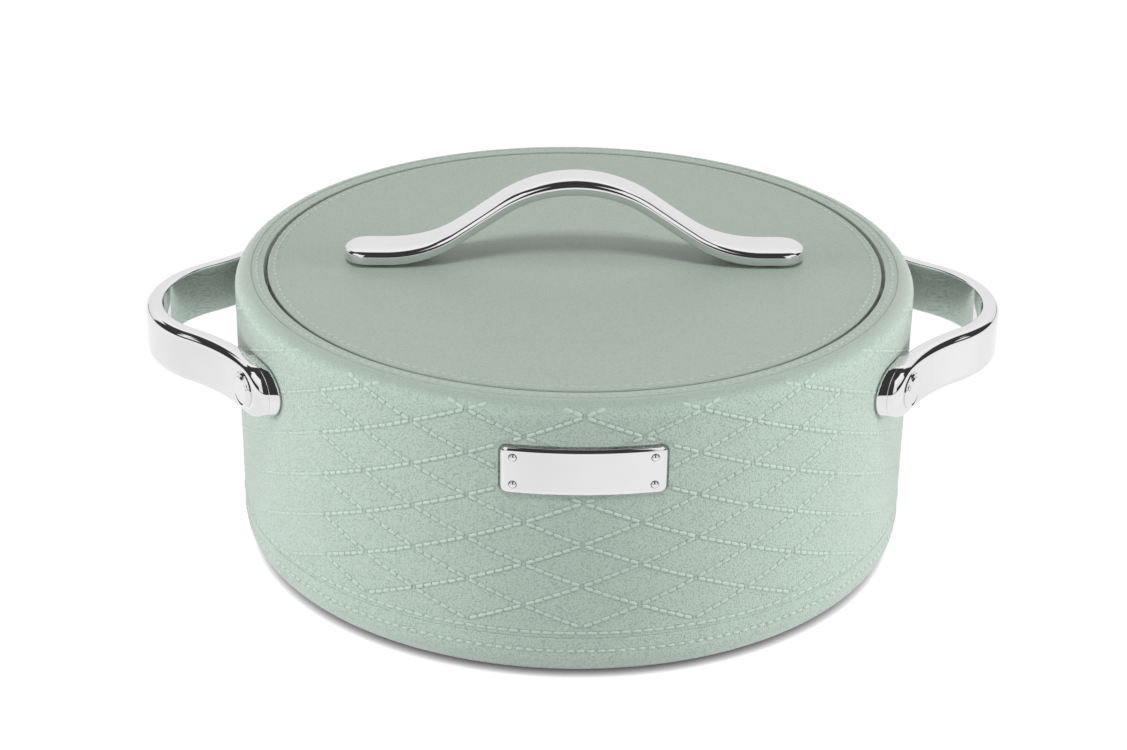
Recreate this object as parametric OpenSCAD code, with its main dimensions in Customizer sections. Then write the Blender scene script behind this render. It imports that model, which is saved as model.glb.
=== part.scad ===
// Insulated serving pot with a lift-off lid, two strap handles and an arched lid handle.
// Millimetres. The pot stands on the XY plane, its front with the bare plate faces -Y,
// and the side handles reach out along X.

/* [Pot] */
// Outside diameter at the top of the wall, under the shoulder
pot_d = 300; // [280:1:330]
// Height of the flat rim above the table
pot_h = 126.5; // [118:0.5:150]
// How much the wall's radius shrinks from the shoulder down to the bottom bend
wall_draft = 1; // [0.2:0.1:3]
// Thickness of the moulded wall
shell_wall = 2.6; // [2:0.1:3.2]
// Radius of the rounded shoulder round the rim
shoulder_r = 7; // [5:0.5:8]
// Radius of the bend from the wall into the underside
bottom_r = 12; // [9:0.5:15]
// Distance from the outside of the wall to the well that takes the lid
rim_w = 13.2; // [12:0.1:16]
// Depth of the lid's well
well_depth = 12; // [11:0.5:15]
// Width of the ledge that carries the bowl's lip
ledge_w = 8; // [7.4:0.1:9.5]
// Radius of the fine moulded grooves on the rim and above the base
groove_r = 0.4; // [0.2:0.1:0.8]
// Distance of the rim's groove from the edge of the well
rim_groove_in = 5.4; // [4:0.1:6]
// Height of the base groove above the table
base_groove_z = 20.3; // [18:0.1:24]

/* [Base] */
// Thickness of the base cover
cover_t = 2.5; // [2:0.1:3.5]
// Width of the shell's underside left outside the cover
cover_margin = 3; // [2:0.5:6]
// Width of the ring inside the shell that the cover is bonded to
cover_land = 8; // [5:0.5:12]
// Height of the foot ring under the cover
foot_ring_h = 0.6; // [0.4:0.1:2]
// Width of the foot ring
foot_ring_w = 7; // [4:0.5:12]
// Distance of the foot ring from the edge of the cover
foot_ring_in = 4; // [2:0.5:10]

/* [Bowl] */
// Thickness of the steel sheet
bowl_t = 0.8; // [0.5:0.1:1.2]
// Slope of the bowl's wall from upright, in degrees
bowl_slope = 3; // [1:0.5:6]
// Radius of the bend between the bowl's wall and floor
bowl_corner_r = 24; // [12:1:30]
// Thickness of the insulation under the bowl
floor_foam = 9; // [6:0.5:14]

/* [Lid] */
// Gap all round between the lid and the rim
lid_gap = 1.6; // [1:0.1:2.2]
// Thickness of the lid's moulded top and skirt
lid_wall = 2.6; // [2:0.1:3.2]
// Radius of the lid's upper edge
lid_edge_r = 1.4; // [0.8:0.1:1.8]
// Height of the seal under the lid
seal_h = 2; // [1.5:0.1:3]
// Width of the seal
seal_w = 4; // [3:0.1:4.6]
// Thickness of the lid's steel liner
liner_t = 0.7; // [0.5:0.1:1]
// How far the liner's pan reaches down below its flange
liner_depth = 10; // [6:0.5:16]
// Slope of the pan's wall from upright, in degrees
liner_slope = 8; // [2:1:15]

/* [Lid handle] */
// Length of the arched bar from tip to tip
bar_len = 202; // [192:1:230]
// Finger room from the lid up to the underside of the arch
bar_gap = 32; // [26:0.5:35]
// Thickness of the bar at the top of the arch
bar_t = 9.8; // [8:0.2:12]
// Thickness of the flat ends
bar_end_t = 7.2; // [6:0.2:9]
// Width of the bar at the top of the arch
bar_w = 15; // [12:0.5:20]
// Width of the flat ends
bar_end_w = 23.4; // [18:0.2:26]
// Steepest slope of the bar, in degrees
bar_slope = 35; // [31:1:40]
// Radius of the crest of the arch, along the middle of the bar
crest_r = 58; // [48:1:62]
// Radius of the sweep from each end up to the arch, along the middle of the bar
sweep_r = 53; // [40:1:58]
// Distance of each screw from the tip of the bar
bar_screw_in = 12; // [10:0.5:15]
// Diameter of the lid handle's screws
bar_screw_d = 4; // [3:0.5:5]

/* [Side handles] */
// Distance from the rim down to the middle of the strap
strap_drop = 29.9; // [28.5:0.1:42]
// Height of the strap
strap_h = 23.2; // [20:0.2:25]
// Thickness of the strap
strap_t = 7.4; // [6.4:0.2:9]
// Rounding of the strap's outer edges
strap_outer_r = 3.4; // [2:0.2:4]
// Rounding of the strap's inner edges
strap_inner_r = 1; // [0.6:0.2:1.6]
// How far the strap reaches out beyond the widest part of the pot
strap_reach = 39.6; // [36:0.2:46]
// Distance between the middles of a strap's two feet
foot_spacing = 144; // [138:1:150]
// Depth of a foot from its outer face to the pot's wall, along X
foot_depth = 10; // [9:0.2:12]
// Angle of a foot's outer face from the YZ plane, in degrees
foot_tilt = 30; // [28:0.5:31]
// Length of the flat on each foot from its middle towards the arm
foot_flat = 4; // [1:0.5:6]
// Radius of the strap's outer bend
bend_r = 50; // [46:1:54]
// Thickness of the strap over the pad that seats it
foot_t = 4.6; // [4.4:0.1:5.4]
// Distance from the middle of the foot to the pad's inner end
pad_in = 11; // [9:0.5:12]
// Diameter of the screw cover
cap_d = 15.8; // [14:0.2:17]
// Height of the screw cover above the strap
cap_h = 1.5; // [1:0.1:2]
// Diameter of the handle screws
strap_screw_d = 5; // [4:0.5:5.5]

/* [Plate] */
// Width of the bare plate, along the wall
plate_w = 67; // [50:1:80]
// Height of the plate
plate_h = 20.6; // [16:0.2:24]
// Distance from the rim down to the middle of the plate
plate_drop = 29.4; // [28.5:0.1:41]
// Thickness of the plate
plate_t = 1.2; // [0.8:0.1:1.6]
// Corner radius of the plate
plate_corner_r = 2.6; // [1.5:0.1:4]
// Diameter of a rivet's head
rivet_d = 3; // [2.4:0.1:3.6]
// Distance of the rivets from the plate's short edges
rivet_in_x = 5.3; // [3:0.1:8]
// Distance of the rivets from the plate's long edges
rivet_in_z = 4.3; // [3:0.1:6]

/* [Hidden] */
$fn = 96;
// Facets of the wide curves that other pieces are seated on
smooth_fn = 360;

// Clearances: hairline between resting faces, bonded or filled faces, drop-in seats,
// holes round screws, tight holes, the lid on its seat
rest_gap = 0.05;
bond_gap = 0.15;
seat_gap = 0.4;
screw_gap = 0.3;
tight_gap = 0.1;
lid_rest_gap = 0.3;
// How far a cutting shape reaches past what it cuts
cut = 1;

// Shell and rim
pot_r = pot_d/2;
base_z = foot_ring_h;
bend_z = base_z + bottom_r;
shoulder_z = pot_h - shoulder_r;
wall_low_r = pot_r - wall_draft;
flat_r = wall_low_r - bottom_r;
well_r = pot_r - rim_w;
ledge_z = pot_h - well_depth;
ledge_r = well_r - ledge_w;
function wall_r(z) = wall_low_r + wall_draft*(z - bend_z)/(shoulder_z - bend_z);

// Base cover and the land it is bonded to
cover_r = flat_r - cover_margin;
land_z = base_z + cover_t + bond_gap;
land_top = land_z + shell_wall;

// Bowl
lip_z = ledge_z + rest_gap;
lip_top = lip_z + bowl_t;
lip_r = well_r - seat_gap;
bowl_top_r = ledge_r - seat_gap;
bowl_in_r = bowl_top_r - bowl_t;
bowl_z = land_top + floor_foam;
bowl_bend_z = bowl_z + bowl_corner_r;
bowl_bend_r = bowl_top_r - (lip_z - bowl_bend_z)*tan(bowl_slope) - bowl_corner_r/cos(bowl_slope);

// Lid, built up from the bowl's lip
lid_r = well_r - lid_gap;
seal_z = lip_top + lid_rest_gap;
skirt_z = seal_z + lid_rest_gap;
flange_z = seal_z + seal_h;
flange_r = lid_r - lid_wall - bond_gap;
pan_gap = 2;
pan_r = bowl_in_r - pan_gap;
pan_z = flange_z - liner_depth;
lid_under = pot_h - lid_wall;
seal_r = flange_r - bond_gap - seal_w;
seal_lip = seal_h/4;

// Lid handle: the spine is a flat end, a sweep, a straight and half of the crest
bar_z = pot_h + rest_gap + bar_end_t/2;
bar_rise = bar_gap + bar_t/2 - bar_end_t/2;
straight_len = (bar_rise - (crest_r + sweep_r)*(1 - cos(bar_slope)))/sin(bar_slope);
sweep_x = (crest_r + sweep_r)*sin(bar_slope) + straight_len*cos(bar_slope);
bar_tip_x = bar_len/2;
bar_nose = bar_end_w/2;
bar_screw_x = bar_tip_x - bar_screw_in;
bar_screw_r = bar_screw_d/2;
bar_skin = 1.8;
bar_screw_top = pot_h + bar_end_t - bar_skin;
bar_head_r = bar_screw_d;
bar_head_h = 2.6;

// Side handles: the plan of the strap's outer face, worked out in the +X +Y quarter
strap_z = pot_h - strap_drop;
foot_y = foot_spacing/2;
foot_x = sqrt(pow(wall_r(strap_z), 2) - foot_y*foot_y) + foot_depth;
nose_r = strap_h/2;
bend_x = pot_r + strap_reach - bend_r;
flat_end = [foot_x + foot_flat*sin(foot_tilt), foot_y - foot_flat*cos(foot_tilt)];
from_bend = flat_end - [bend_x, 0];
foot_normal = [cos(foot_tilt), sin(foot_tilt)];
arm_r = (from_bend*from_bend - bend_r*bend_r)/(2*(bend_r - from_bend*foot_normal));
arm_mid = flat_end + arm_r*foot_normal;
meet_angle = atan2(arm_mid[1], arm_mid[0] - bend_x);

// Screw, cover and nut of a foot, along the foot's own axis from its outer face
cap_r = cap_d/2;
cap_bevel = cap_h*0.4;
strap_screw_r = strap_screw_d/2;
head_rim = 2.4;
head_r = strap_screw_r + head_rim;
head_h = 2.4;
recess_h = 3;
nut_h = 4;
nut_rim = 2.2;
nut_r = strap_screw_r + nut_rim;
nut_gap = 0.9;
nut_depth = foot_depth*cos(foot_tilt) + shell_wall + nut_gap;
screw_depth = nut_depth + nut_h;

// Plate
plate_z = pot_h - plate_drop;
plate_angle = plate_w/2/wall_r(plate_z)*180/PI;
plate_x = wall_r(plate_z)*sin(plate_angle);
plate_trim = 1;
rivet_r = rivet_d/2;
rivet_shank_r = 0.7;
rivet_dome_r = 1.1*rivet_r;
rivet_seat = plate_t + tight_gap;
rivet_angle = (plate_w/2 - rivet_in_x)/wall_r(plate_z)*180/PI;
rivet_dz = plate_h/2 - rivet_in_z;

sage = "#A6BBAE";
chrome = "#E4E4E6";
steel = "#C9CCCE";
foam = "#E9DFB4";
silicone = "#D9DBD8";

// Rectangle from the axis out to r, between two heights
module square_to(r, low, high) {
    translate([0, low])
        square([r, high - low]);
}

// Half section of the pot's outside, from the axis out, moved in by inset
module pot_section(inset) {
    translate([pot_r - shoulder_r, shoulder_z])
        circle(shoulder_r - inset);
    translate([flat_r, bend_z])
        circle(bottom_r - inset);
    polygon([
        [0, base_z + inset],
        [flat_r, base_z + inset],
        [wall_low_r - inset, bend_z],
        [pot_r - inset, shoulder_z],
        [pot_r - shoulder_r, pot_h - inset],
        [0, pot_h - inset],
    ]);
}

// Solid of the pot's outside, grown by grow, for seating what is fixed to the wall
module pot_outside(grow) {
    rotate_extrude($fn = smooth_fn)
        pot_section(-grow);
}

// The wall, the ledge, the well's wall and the cover's land, less the recess and the grooves
module outer_shell_section() {
    difference() {
        union() {
            difference() {
                pot_section(0);
                pot_section(shell_wall);
            }
            translate([ledge_r, ledge_z - shell_wall])
                square([ledge_w + shell_wall, shell_wall]);
            translate([well_r, ledge_z - shell_wall])
                square([shell_wall, well_depth + shell_wall/2]);
            translate([cover_r - cover_land, base_z + shell_wall/2])
                square([cover_land + cover_margin, land_top - base_z - shell_wall/2]);
        }
        square_to(well_r, ledge_z, pot_h + cut);
        square_to(cover_r + bond_gap, 0, land_z);
        translate([well_r + rim_groove_in, pot_h])
            circle(groove_r);
        translate([wall_r(base_groove_z), base_groove_z])
            circle(groove_r);
    }
}

module outer_shell() {
    color(sage)
        difference() {
            rotate_extrude()
                outer_shell_section();
            each_foot()
                translate([0, 0, -screw_depth])
                    cylinder(h = screw_depth, r = strap_screw_r + screw_gap);
            each_rivet()
                translate([0, 0, -shell_wall - cut])
                    cylinder(h = shell_wall + 2*cut, r = rivet_shank_r + tight_gap);
        }
}

module base_cover() {
    color(sage)
        rotate_extrude()
            union() {
                square_to(cover_r, base_z, base_z + cover_t);
                translate([cover_r - foot_ring_in - foot_ring_w, 0])
                    square([foot_ring_w, base_z + cover_t/2]);
            }
}

// Half section of the bowl's outside up to the top of its lip, moved in by inset
module bowl_section(inset) {
    bend = bowl_corner_r - inset;
    translate([bowl_bend_r, bowl_bend_z])
        circle(bend);
    polygon([
        [0, bowl_z + inset],
        [bowl_bend_r, bowl_z + inset],
        [bowl_bend_r + bend*cos(bowl_slope), bowl_bend_z - bend*sin(bowl_slope)],
        [bowl_top_r - inset/cos(bowl_slope), lip_z],
        [bowl_top_r - inset/cos(bowl_slope), lip_top],
        [0, lip_top],
    ]);
}

module inner_bowl() {
    color(steel)
        rotate_extrude()
            difference() {
                union() {
                    bowl_section(0);
                    square_to(lip_r, lip_z, lip_top);
                }
                bowl_section(bowl_t);
            }
}

module body_insulation() {
    color(foam)
        difference() {
            rotate_extrude()
                difference() {
                    pot_section(shell_wall + bond_gap);
                    bowl_section(-bond_gap);
                    square_to(pot_r, 0, land_top + bond_gap);
                    square_to(well_r + shell_wall + bond_gap, ledge_z - shell_wall - bond_gap, pot_h);
                }
            each_foot()
                translate([0, 0, -screw_depth - cut])
                    cylinder(h = screw_depth, r = nut_r + screw_gap);
            each_rivet()
                translate([0, 0, -shell_wall - cut])
                    cylinder(h = shell_wall, r = rivet_r);
        }
}

module lid_shell() {
    color(sage)
        difference() {
            rotate_extrude()
                difference() {
                    union() {
                        square_to(lid_r, skirt_z, pot_h - lid_edge_r);
                        square_to(lid_r - lid_edge_r, skirt_z, pot_h);
                        translate([lid_r - lid_edge_r, pot_h - lid_edge_r])
                            circle(lid_edge_r);
                    }
                    square_to(lid_r - lid_wall, 0, lid_under);
                }
            each_bar_screw()
                translate([0, 0, lid_under - cut])
                    cylinder(h = lid_wall + 2*cut, r = bar_screw_r + screw_gap);
        }
}

// Half section of the liner's pan, moved in by inset
module pan_section(inset) {
    polygon([
        [0, pan_z + inset],
        [pan_r - liner_depth*tan(liner_slope) - inset, pan_z + inset],
        [pan_r - inset, flange_z + liner_t],
        [0, flange_z + liner_t],
    ]);
}

module lid_liner() {
    color(steel)
        rotate_extrude()
            difference() {
                union() {
                    pan_section(0);
                    square_to(flange_r, flange_z, flange_z + liner_t);
                }
                pan_section(liner_t);
            }
}

module lid_insulation() {
    flange_top = flange_z + liner_t + bond_gap;
    color(foam)
        difference() {
            rotate_extrude()
                union() {
                    pan_section(liner_t + bond_gap);
                    square_to(pan_r - liner_t - 2*bond_gap, flange_z, flange_top + bond_gap);
                    square_to(flange_r, flange_top, lid_under - bond_gap);
                }
            each_bar_screw()
                translate([0, 0, lid_under - bar_head_h - screw_gap])
                    cylinder(h = bar_head_h + cut, r = bar_head_r + screw_gap);
        }
}

// The seal's underside is narrower than its top, as on a pressed-in lip seal
module lid_seal() {
    color(silicone)
        rotate_extrude()
            union() {
                translate([seal_r, seal_z + seal_lip])
                    square([seal_w, seal_h - seal_lip - rest_gap]);
                translate([seal_r + seal_lip, seal_z])
                    square([seal_w - 2*seal_lip, seal_h/2]);
            }
}

// Solid through a list of rings that all have the same number of points
module loft(rings) {
    count = len(rings[0]);
    last = len(rings) - 1;
    points = [for (ring = rings) for (point = ring) point];
    sides = [
        for (i = [0:last - 1])
            for (j = [0:count - 1])
                let (k = (j + 1) % count)
                    for (side = [
                        [i*count + j, (i + 1)*count + j, (i + 1)*count + k],
                        [i*count + j, (i + 1)*count + k, i*count + k],
                    ]) side
    ];
    start = [for (j = [0:count - 1]) j];
    end = [for (j = [count - 1:-1:0]) last*count + j];
    polyhedron(points = points, faces = concat([start], sides, [end]));
}

function blend(t) = t*t*(3 - 2*t);
function mix(a, b, t) = a + (b - a)*t;
function power(v, p) = sign(v)*pow(abs(v), p);

// Spine of the lid handle's right half from the tip in: [x, z, slope]
bar_tip = [for (a = [86, 78, 66, 52, 36, 18, 0]) [bar_tip_x - bar_nose*(1 - sin(a)), bar_z, 0]];
bar_sweep = [for (i = [0:7]) let (a = bar_slope*i/7)
    [sweep_x - sweep_r*sin(a), bar_z + sweep_r*(1 - cos(a)), -a]];
bar_crest = [for (i = [0:9]) let (a = bar_slope*(1 - i/9))
    [crest_r*sin(a), bar_z + bar_rise - crest_r*(1 - cos(a)), -a]];
bar_half = concat(bar_tip, bar_sweep, bar_crest);
bar_spine = concat(bar_half, [for (i = [len(bar_half) - 2:-1:0])
    let (p = bar_half[i]) [-p[0], p[1], -p[2]]]);

// Powers that shape the bar's section: its sides, its crowned top and its fuller underside
bar_side_power = 0.8;
bar_top_power = 0.85;
bar_under_power = 0.6;
// Share of the thickness lost above and below at the very tip
tip_fall = 0.5;
tip_lift = 0.25;

// Section across the bar: it thins evenly, opens to the ends' width and is round in plan at the tips
function bar_ring(p) =
    let (
        thin = min(1, abs(p[0])/sweep_x),
        open = blend(max(0, 2*thin - 1)),
        past = max(0, abs(p[0]) - bar_tip_x + bar_nose)/bar_nose,
        wide = mix(bar_w, bar_end_w, open)/2*sqrt(1 - past*past),
        thick = mix(bar_t, bar_end_t, thin)/2,
        above = thick*(1 - tip_fall*pow(past, 4)),
        below = thick*(1 - tip_lift*pow(past, 4))
    )
    [for (a = [0:15:345])
        let (
            y = wide*power(cos(a), bar_side_power),
            h = sin(a) > 0 ? above*power(sin(a), bar_top_power) : below*power(sin(a), bar_under_power)
        )
        [p[0] - h*sin(p[2]), y, p[1] + h*cos(p[2])]];

module lid_handle() {
    color(chrome)
        difference() {
            loft([for (p = bar_spine) bar_ring(p)]);
            each_bar_screw()
                translate([0, 0, pot_h - cut])
                    cylinder(h = bar_screw_top - pot_h + cut + tight_gap, r = bar_screw_r + tight_gap);
        }
}

// Places what is under it at both screws of the lid handle
module each_bar_screw() {
    for (side = [-1, 1])
        translate([side*bar_screw_x, 0, 0])
            children();
}

module lid_handle_screws() {
    color(steel)
        each_bar_screw()
            union() {
                translate([0, 0, lid_under - rest_gap - bar_head_h])
                    cylinder(h = bar_head_h, r = bar_head_r);
                translate([0, 0, lid_under - bar_head_h])
                    cylinder(h = bar_screw_top - lid_under + bar_head_h, r = bar_screw_r);
            }
}

// Plan of a strap: X of its face at a given Y, moved in from the outer face by inset
function strap_x(y, inset) =
    let (
        a = abs(y),
        bend = bend_r - inset,
        arm = arm_r + inset,
        arm_y = arm_mid[1] - arm*sin(foot_tilt)
    )
    a < bend*sin(meet_angle) ? bend_x + sqrt(bend*bend - a*a)
    : a < arm_y ? arm_mid[0] - sqrt(arm*arm - pow(arm_mid[1] - a, 2))
    : arm_mid[0] - arm*cos(foot_tilt) - (a - arm_y)*tan(foot_tilt);

// Angle of the strap's face from the YZ plane at a given Y
function strap_angle(y) =
    let (a = abs(y))
    a < bend_r*sin(meet_angle) ? asin(a/bend_r)
    : asin(max(sin(foot_tilt), (arm_mid[1] - a)/arm_r));

// Largest share of a section's half height that its outer and inner edges may take
outer_share = 0.8;
inner_share = 0.15;

// Section of a strap at a given Y: a rounded rectangle whose height follows the feet's round ends
function strap_ring(y) =
    let (
        past = max(0, abs(y) - foot_y),
        high = sqrt(max(0, nose_r*nose_r - past*past)),
        stretch = 1/cos(strap_angle(y)),
        outer_r = min(strap_outer_r, high*outer_share),
        inner_r = min(strap_inner_r, high*inner_share),
        x_out = strap_x(y, 0),
        x_in = strap_x(y, strap_t)
    )
    concat(
        [for (a = [90:-18:0])
            [x_out - outer_r*stretch*(1 - cos(a)), y, strap_z + high - outer_r*(1 - sin(a))]],
        [for (a = [0:18:90])
            [x_out - outer_r*stretch*(1 - cos(a)), y, strap_z - high + outer_r*(1 - sin(a))]],
        [for (a = [90:-45:0])
            [x_in + inner_r*stretch*(1 - cos(a)), y, strap_z - high + inner_r*(1 - sin(a))]],
        [for (a = [0:45:90])
            [x_in + inner_r*stretch*(1 - cos(a)), y, strap_z + high - inner_r*(1 - sin(a))]]
    );

nose_y = [for (a = [82, 70, 58, 46, 34, 22, 10]) foot_y + nose_r*sin(a)];
arm_count = 44;
strap_y = concat(
    [for (y = nose_y) -y],
    [for (i = [0:arm_count]) foot_y*(2*i/arm_count - 1)],
    [for (i = [len(nose_y) - 1:-1:0]) nose_y[i]]
);

// Places what is under it on a foot of the right handle, with +Z out of its face
module at_foot(end) {
    translate([foot_x, end*foot_y, strap_z])
        rotate([0, 0, end*foot_tilt])
            rotate([0, 90, 0])
                children();
}

// Mirrors what is under it to the left or keeps it on the right
module on_side(side) {
    if (side < 0)
        mirror([1, 0, 0])
            children();
    else
        children();
}

// Places what is under it at all four feet
module each_foot() {
    for (side = [-1, 1])
        for (end = [-1, 1])
            on_side(side)
                at_foot(end)
                    children();
}

// Room between a foot's back and the wall, where its pad sits
module pad_room(end) {
    length = pad_in + 2*nose_r;
    at_foot(end)
        translate([-strap_h, end > 0 ? -pad_in : pad_in - length, -foot_t - 2*foot_depth])
            cube([2*strap_h, length, 2*foot_depth]);
}

module strap_handle(side) {
    color(chrome)
        on_side(side)
            difference() {
                loft([for (y = strap_y) strap_ring(y)]);
                for (end = [-1, 1]) {
                    pad_room(end);
                    at_foot(end) {
                        translate([0, 0, -recess_h])
                            cylinder(h = recess_h + cut, r = head_r + screw_gap);
                        translate([0, 0, -foot_t - cut])
                            cylinder(h = foot_t + cut, r = strap_screw_r + screw_gap);
                    }
                }
            }
}

// Side view of a foot, as wide as the strap is high
module pad_outline(end) {
    translate([end*foot_y, strap_z])
        circle(nose_r);
    translate([end > 0 ? 0 : -foot_y, strap_z - nose_r])
        square([foot_y, strap_h]);
}

module handle_pad(side, end) {
    color(chrome)
        on_side(side)
            difference() {
                intersection() {
                    pad_room(end);
                    translate([pot_r/2, 0, 0])
                        rotate([90, 0, 90])
                            linear_extrude(pot_r)
                                pad_outline(end);
                }
                pot_outside(bond_gap);
                at_foot(end)
                    translate([0, 0, -nut_depth])
                        cylinder(h = nut_depth, r = strap_screw_r + screw_gap);
            }
}

module screw_cap(side, end) {
    plug_z = head_h - recess_h + bond_gap;
    color(chrome)
        on_side(side)
            at_foot(end)
                rotate_extrude()
                    polygon([
                        [0, plug_z],
                        [head_r, plug_z],
                        [head_r, rest_gap],
                        [cap_r, rest_gap],
                        [cap_r, cap_h - cap_bevel],
                        [cap_r - cap_bevel, cap_h],
                        [0, cap_h],
                    ]);
}

module handle_screws() {
    color(steel)
        each_foot()
            union() {
                translate([0, 0, rest_gap - recess_h])
                    cylinder(h = head_h, r = head_r);
                translate([0, 0, -screw_depth])
                    cylinder(h = screw_depth - recess_h + head_h/2, r = strap_screw_r);
            }
}

module handle_nuts() {
    color(steel)
        each_foot()
            translate([0, 0, -screw_depth])
                difference() {
                    cylinder(h = nut_h, r = nut_r, $fn = 6);
                    translate([0, 0, -cut])
                        cylinder(h = nut_h + 2*cut, r = strap_screw_r + tight_gap);
                }
}

// Places what is under it at the four rivets, with +Z out of the wall
module each_rivet() {
    for (side = [-1, 1])
        for (row = [-1, 1])
            rotate([0, 0, side*rivet_angle])
                translate([0, -wall_r(plate_z + row*rivet_dz), plate_z + row*rivet_dz])
                    rotate([90, 0, 0])
                        children();
}

// Section of the ring that the plate is cut from, lying on the sloping wall
module plate_section() {
    low = plate_z - plate_h/2 - plate_trim;
    high = plate_z + plate_h/2 + plate_trim;
    polygon([
        [wall_r(low) + rest_gap, low],
        [wall_r(low) + plate_t, low],
        [wall_r(high) + plate_t, high],
        [wall_r(high) + rest_gap, high],
    ]);
}

module plate_outline() {
    flat_w = plate_x - plate_corner_r;
    flat_h = plate_h/2 - plate_corner_r;
    polygon([
        [-flat_w, -plate_h/2],
        [flat_w, -plate_h/2],
        [plate_x, -flat_h],
        [plate_x, flat_h],
        [flat_w, plate_h/2],
        [-flat_w, plate_h/2],
        [-plate_x, flat_h],
        [-plate_x, -flat_h],
    ]);
    for (x = [-flat_w, flat_w])
        for (z = [-flat_h, flat_h])
            translate([x, z])
                circle(plate_corner_r);
}

module name_plate() {
    color(chrome)
        difference() {
            intersection() {
                rotate_extrude($fn = smooth_fn)
                    plate_section();
                translate([0, -pot_r/2, plate_z])
                    rotate([90, 0, 0])
                        linear_extrude(pot_r)
                            plate_outline();
            }
            each_rivet()
                translate([0, 0, -cut])
                    cylinder(h = plate_t + 2*cut, r = rivet_shank_r + tight_gap);
        }
}

module plate_rivets() {
    color(chrome)
        each_rivet()
            union() {
                intersection() {
                    translate([0, 0, rivet_seat - rivet_dome_r/3])
                        sphere(rivet_dome_r);
                    translate([0, 0, rivet_seat])
                        cylinder(h = rivet_r, r = rivet_r);
                }
                translate([0, 0, -shell_wall])
                    cylinder(h = shell_wall + rivet_seat + rivet_r/4, r = rivet_shank_r);
            }
}

outer_shell();
base_cover();
inner_bowl();
body_insulation();
lid_shell();
lid_liner();
lid_insulation();
lid_seal();
lid_handle();
lid_handle_screws();
strap_handle(-1);  // left_handle
strap_handle(1);  // right_handle
handle_pad(-1, -1);  // left_front_pad
handle_pad(-1, 1);  // left_rear_pad
handle_pad(1, -1);  // right_front_pad
handle_pad(1, 1);  // right_rear_pad
screw_cap(-1, -1);  // left_front_cap
screw_cap(-1, 1);  // left_rear_cap
screw_cap(1, -1);  // right_front_cap
screw_cap(1, 1);  // right_rear_cap
handle_screws();
handle_nuts();
name_plate();
plate_rivets();
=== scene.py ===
import math

import bmesh
import bpy
from mathutils import Matrix, Vector


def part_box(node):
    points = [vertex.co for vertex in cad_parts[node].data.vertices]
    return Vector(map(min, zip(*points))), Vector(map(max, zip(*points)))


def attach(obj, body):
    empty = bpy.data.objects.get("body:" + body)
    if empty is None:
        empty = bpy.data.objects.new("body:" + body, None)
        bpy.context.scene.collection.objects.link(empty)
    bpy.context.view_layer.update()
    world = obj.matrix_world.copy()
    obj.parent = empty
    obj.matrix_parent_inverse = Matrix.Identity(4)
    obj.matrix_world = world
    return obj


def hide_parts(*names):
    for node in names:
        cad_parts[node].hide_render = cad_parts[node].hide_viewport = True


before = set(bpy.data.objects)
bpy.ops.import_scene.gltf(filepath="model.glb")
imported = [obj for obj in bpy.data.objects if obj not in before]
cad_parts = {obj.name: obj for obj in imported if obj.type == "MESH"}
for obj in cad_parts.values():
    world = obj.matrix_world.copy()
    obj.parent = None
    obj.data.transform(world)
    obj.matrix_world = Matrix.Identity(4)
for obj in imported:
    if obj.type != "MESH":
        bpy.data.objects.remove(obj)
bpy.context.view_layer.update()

# Base cover: a disc moulded in the same sage plastic as the wall and bonded into its underside.
# A low ring near its edge is the foot that the pot stands on, and two fine rings stiffen the middle.
mm = 0.001


def in_mm(node):
    """Lowest and highest corner of a CAD node, in millimetres."""
    low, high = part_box(node)
    return low / mm, high / mm


def spun(outline, steps=320):
    """Skin turned round the upright axis from corners of (radius, height, rounding)."""
    mesh = bmesh.new()
    points = [mesh.verts.new((radius, 0, height)) for radius, height, rounding in outline]
    for start, end in zip(points, points[1:]):
        mesh.edges.new((start, end))
    if outline[0][0] > 0:
        mesh.edges.new((points[-1], points[0]))
    for point, (radius, height, rounding) in zip(points, outline):
        if rounding > 0:
            before, after = [edge.other_vert(point).co - point.co for edge in point.link_edges]
            bmesh.ops.bevel(
                mesh, geom=[point], affect="VERTICES", offset_type="OFFSET",
                offset=rounding / math.tan(before.angle(after) / 2),
                segments=min(16, 3 + round(1.2 * rounding)), profile=0.5, material=-1)
    bmesh.ops.spin(
        mesh, geom=mesh.verts[:] + mesh.edges[:], cent=(0, 0, 0), axis=(0, 0, 1),
        angle=2 * math.pi, steps=steps, use_merge=True)
    return mesh


def mesh_data(name, mesh):
    """Mesh data made from a bmesh, which ends with it."""
    data = bpy.data.meshes.new(name)
    mesh.to_mesh(data)
    mesh.free()
    return data


def shown(name, mesh, finish, sharp=40):
    """Object made from a mesh in millimetres, with smooth faces and creases where it turns sharply."""
    bmesh.ops.remove_doubles(mesh, verts=mesh.verts, dist=0.001)
    bmesh.ops.recalc_face_normals(mesh, faces=mesh.faces)
    bmesh.ops.scale(mesh, vec=(mm, mm, mm), verts=mesh.verts)
    for face in mesh.faces:
        face.smooth = True
    for edge in mesh.edges:
        edge.smooth = edge.calc_face_angle(0) < math.radians(sharp)
    data = mesh_data(name, mesh)
    data.materials.append(finish)
    piece = bpy.data.objects.new(name, data)
    bpy.context.scene.collection.objects.link(piece)
    even = piece.modifiers.new("even shading", "WEIGHTED_NORMAL")
    even.keep_sharp = True
    return piece


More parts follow.
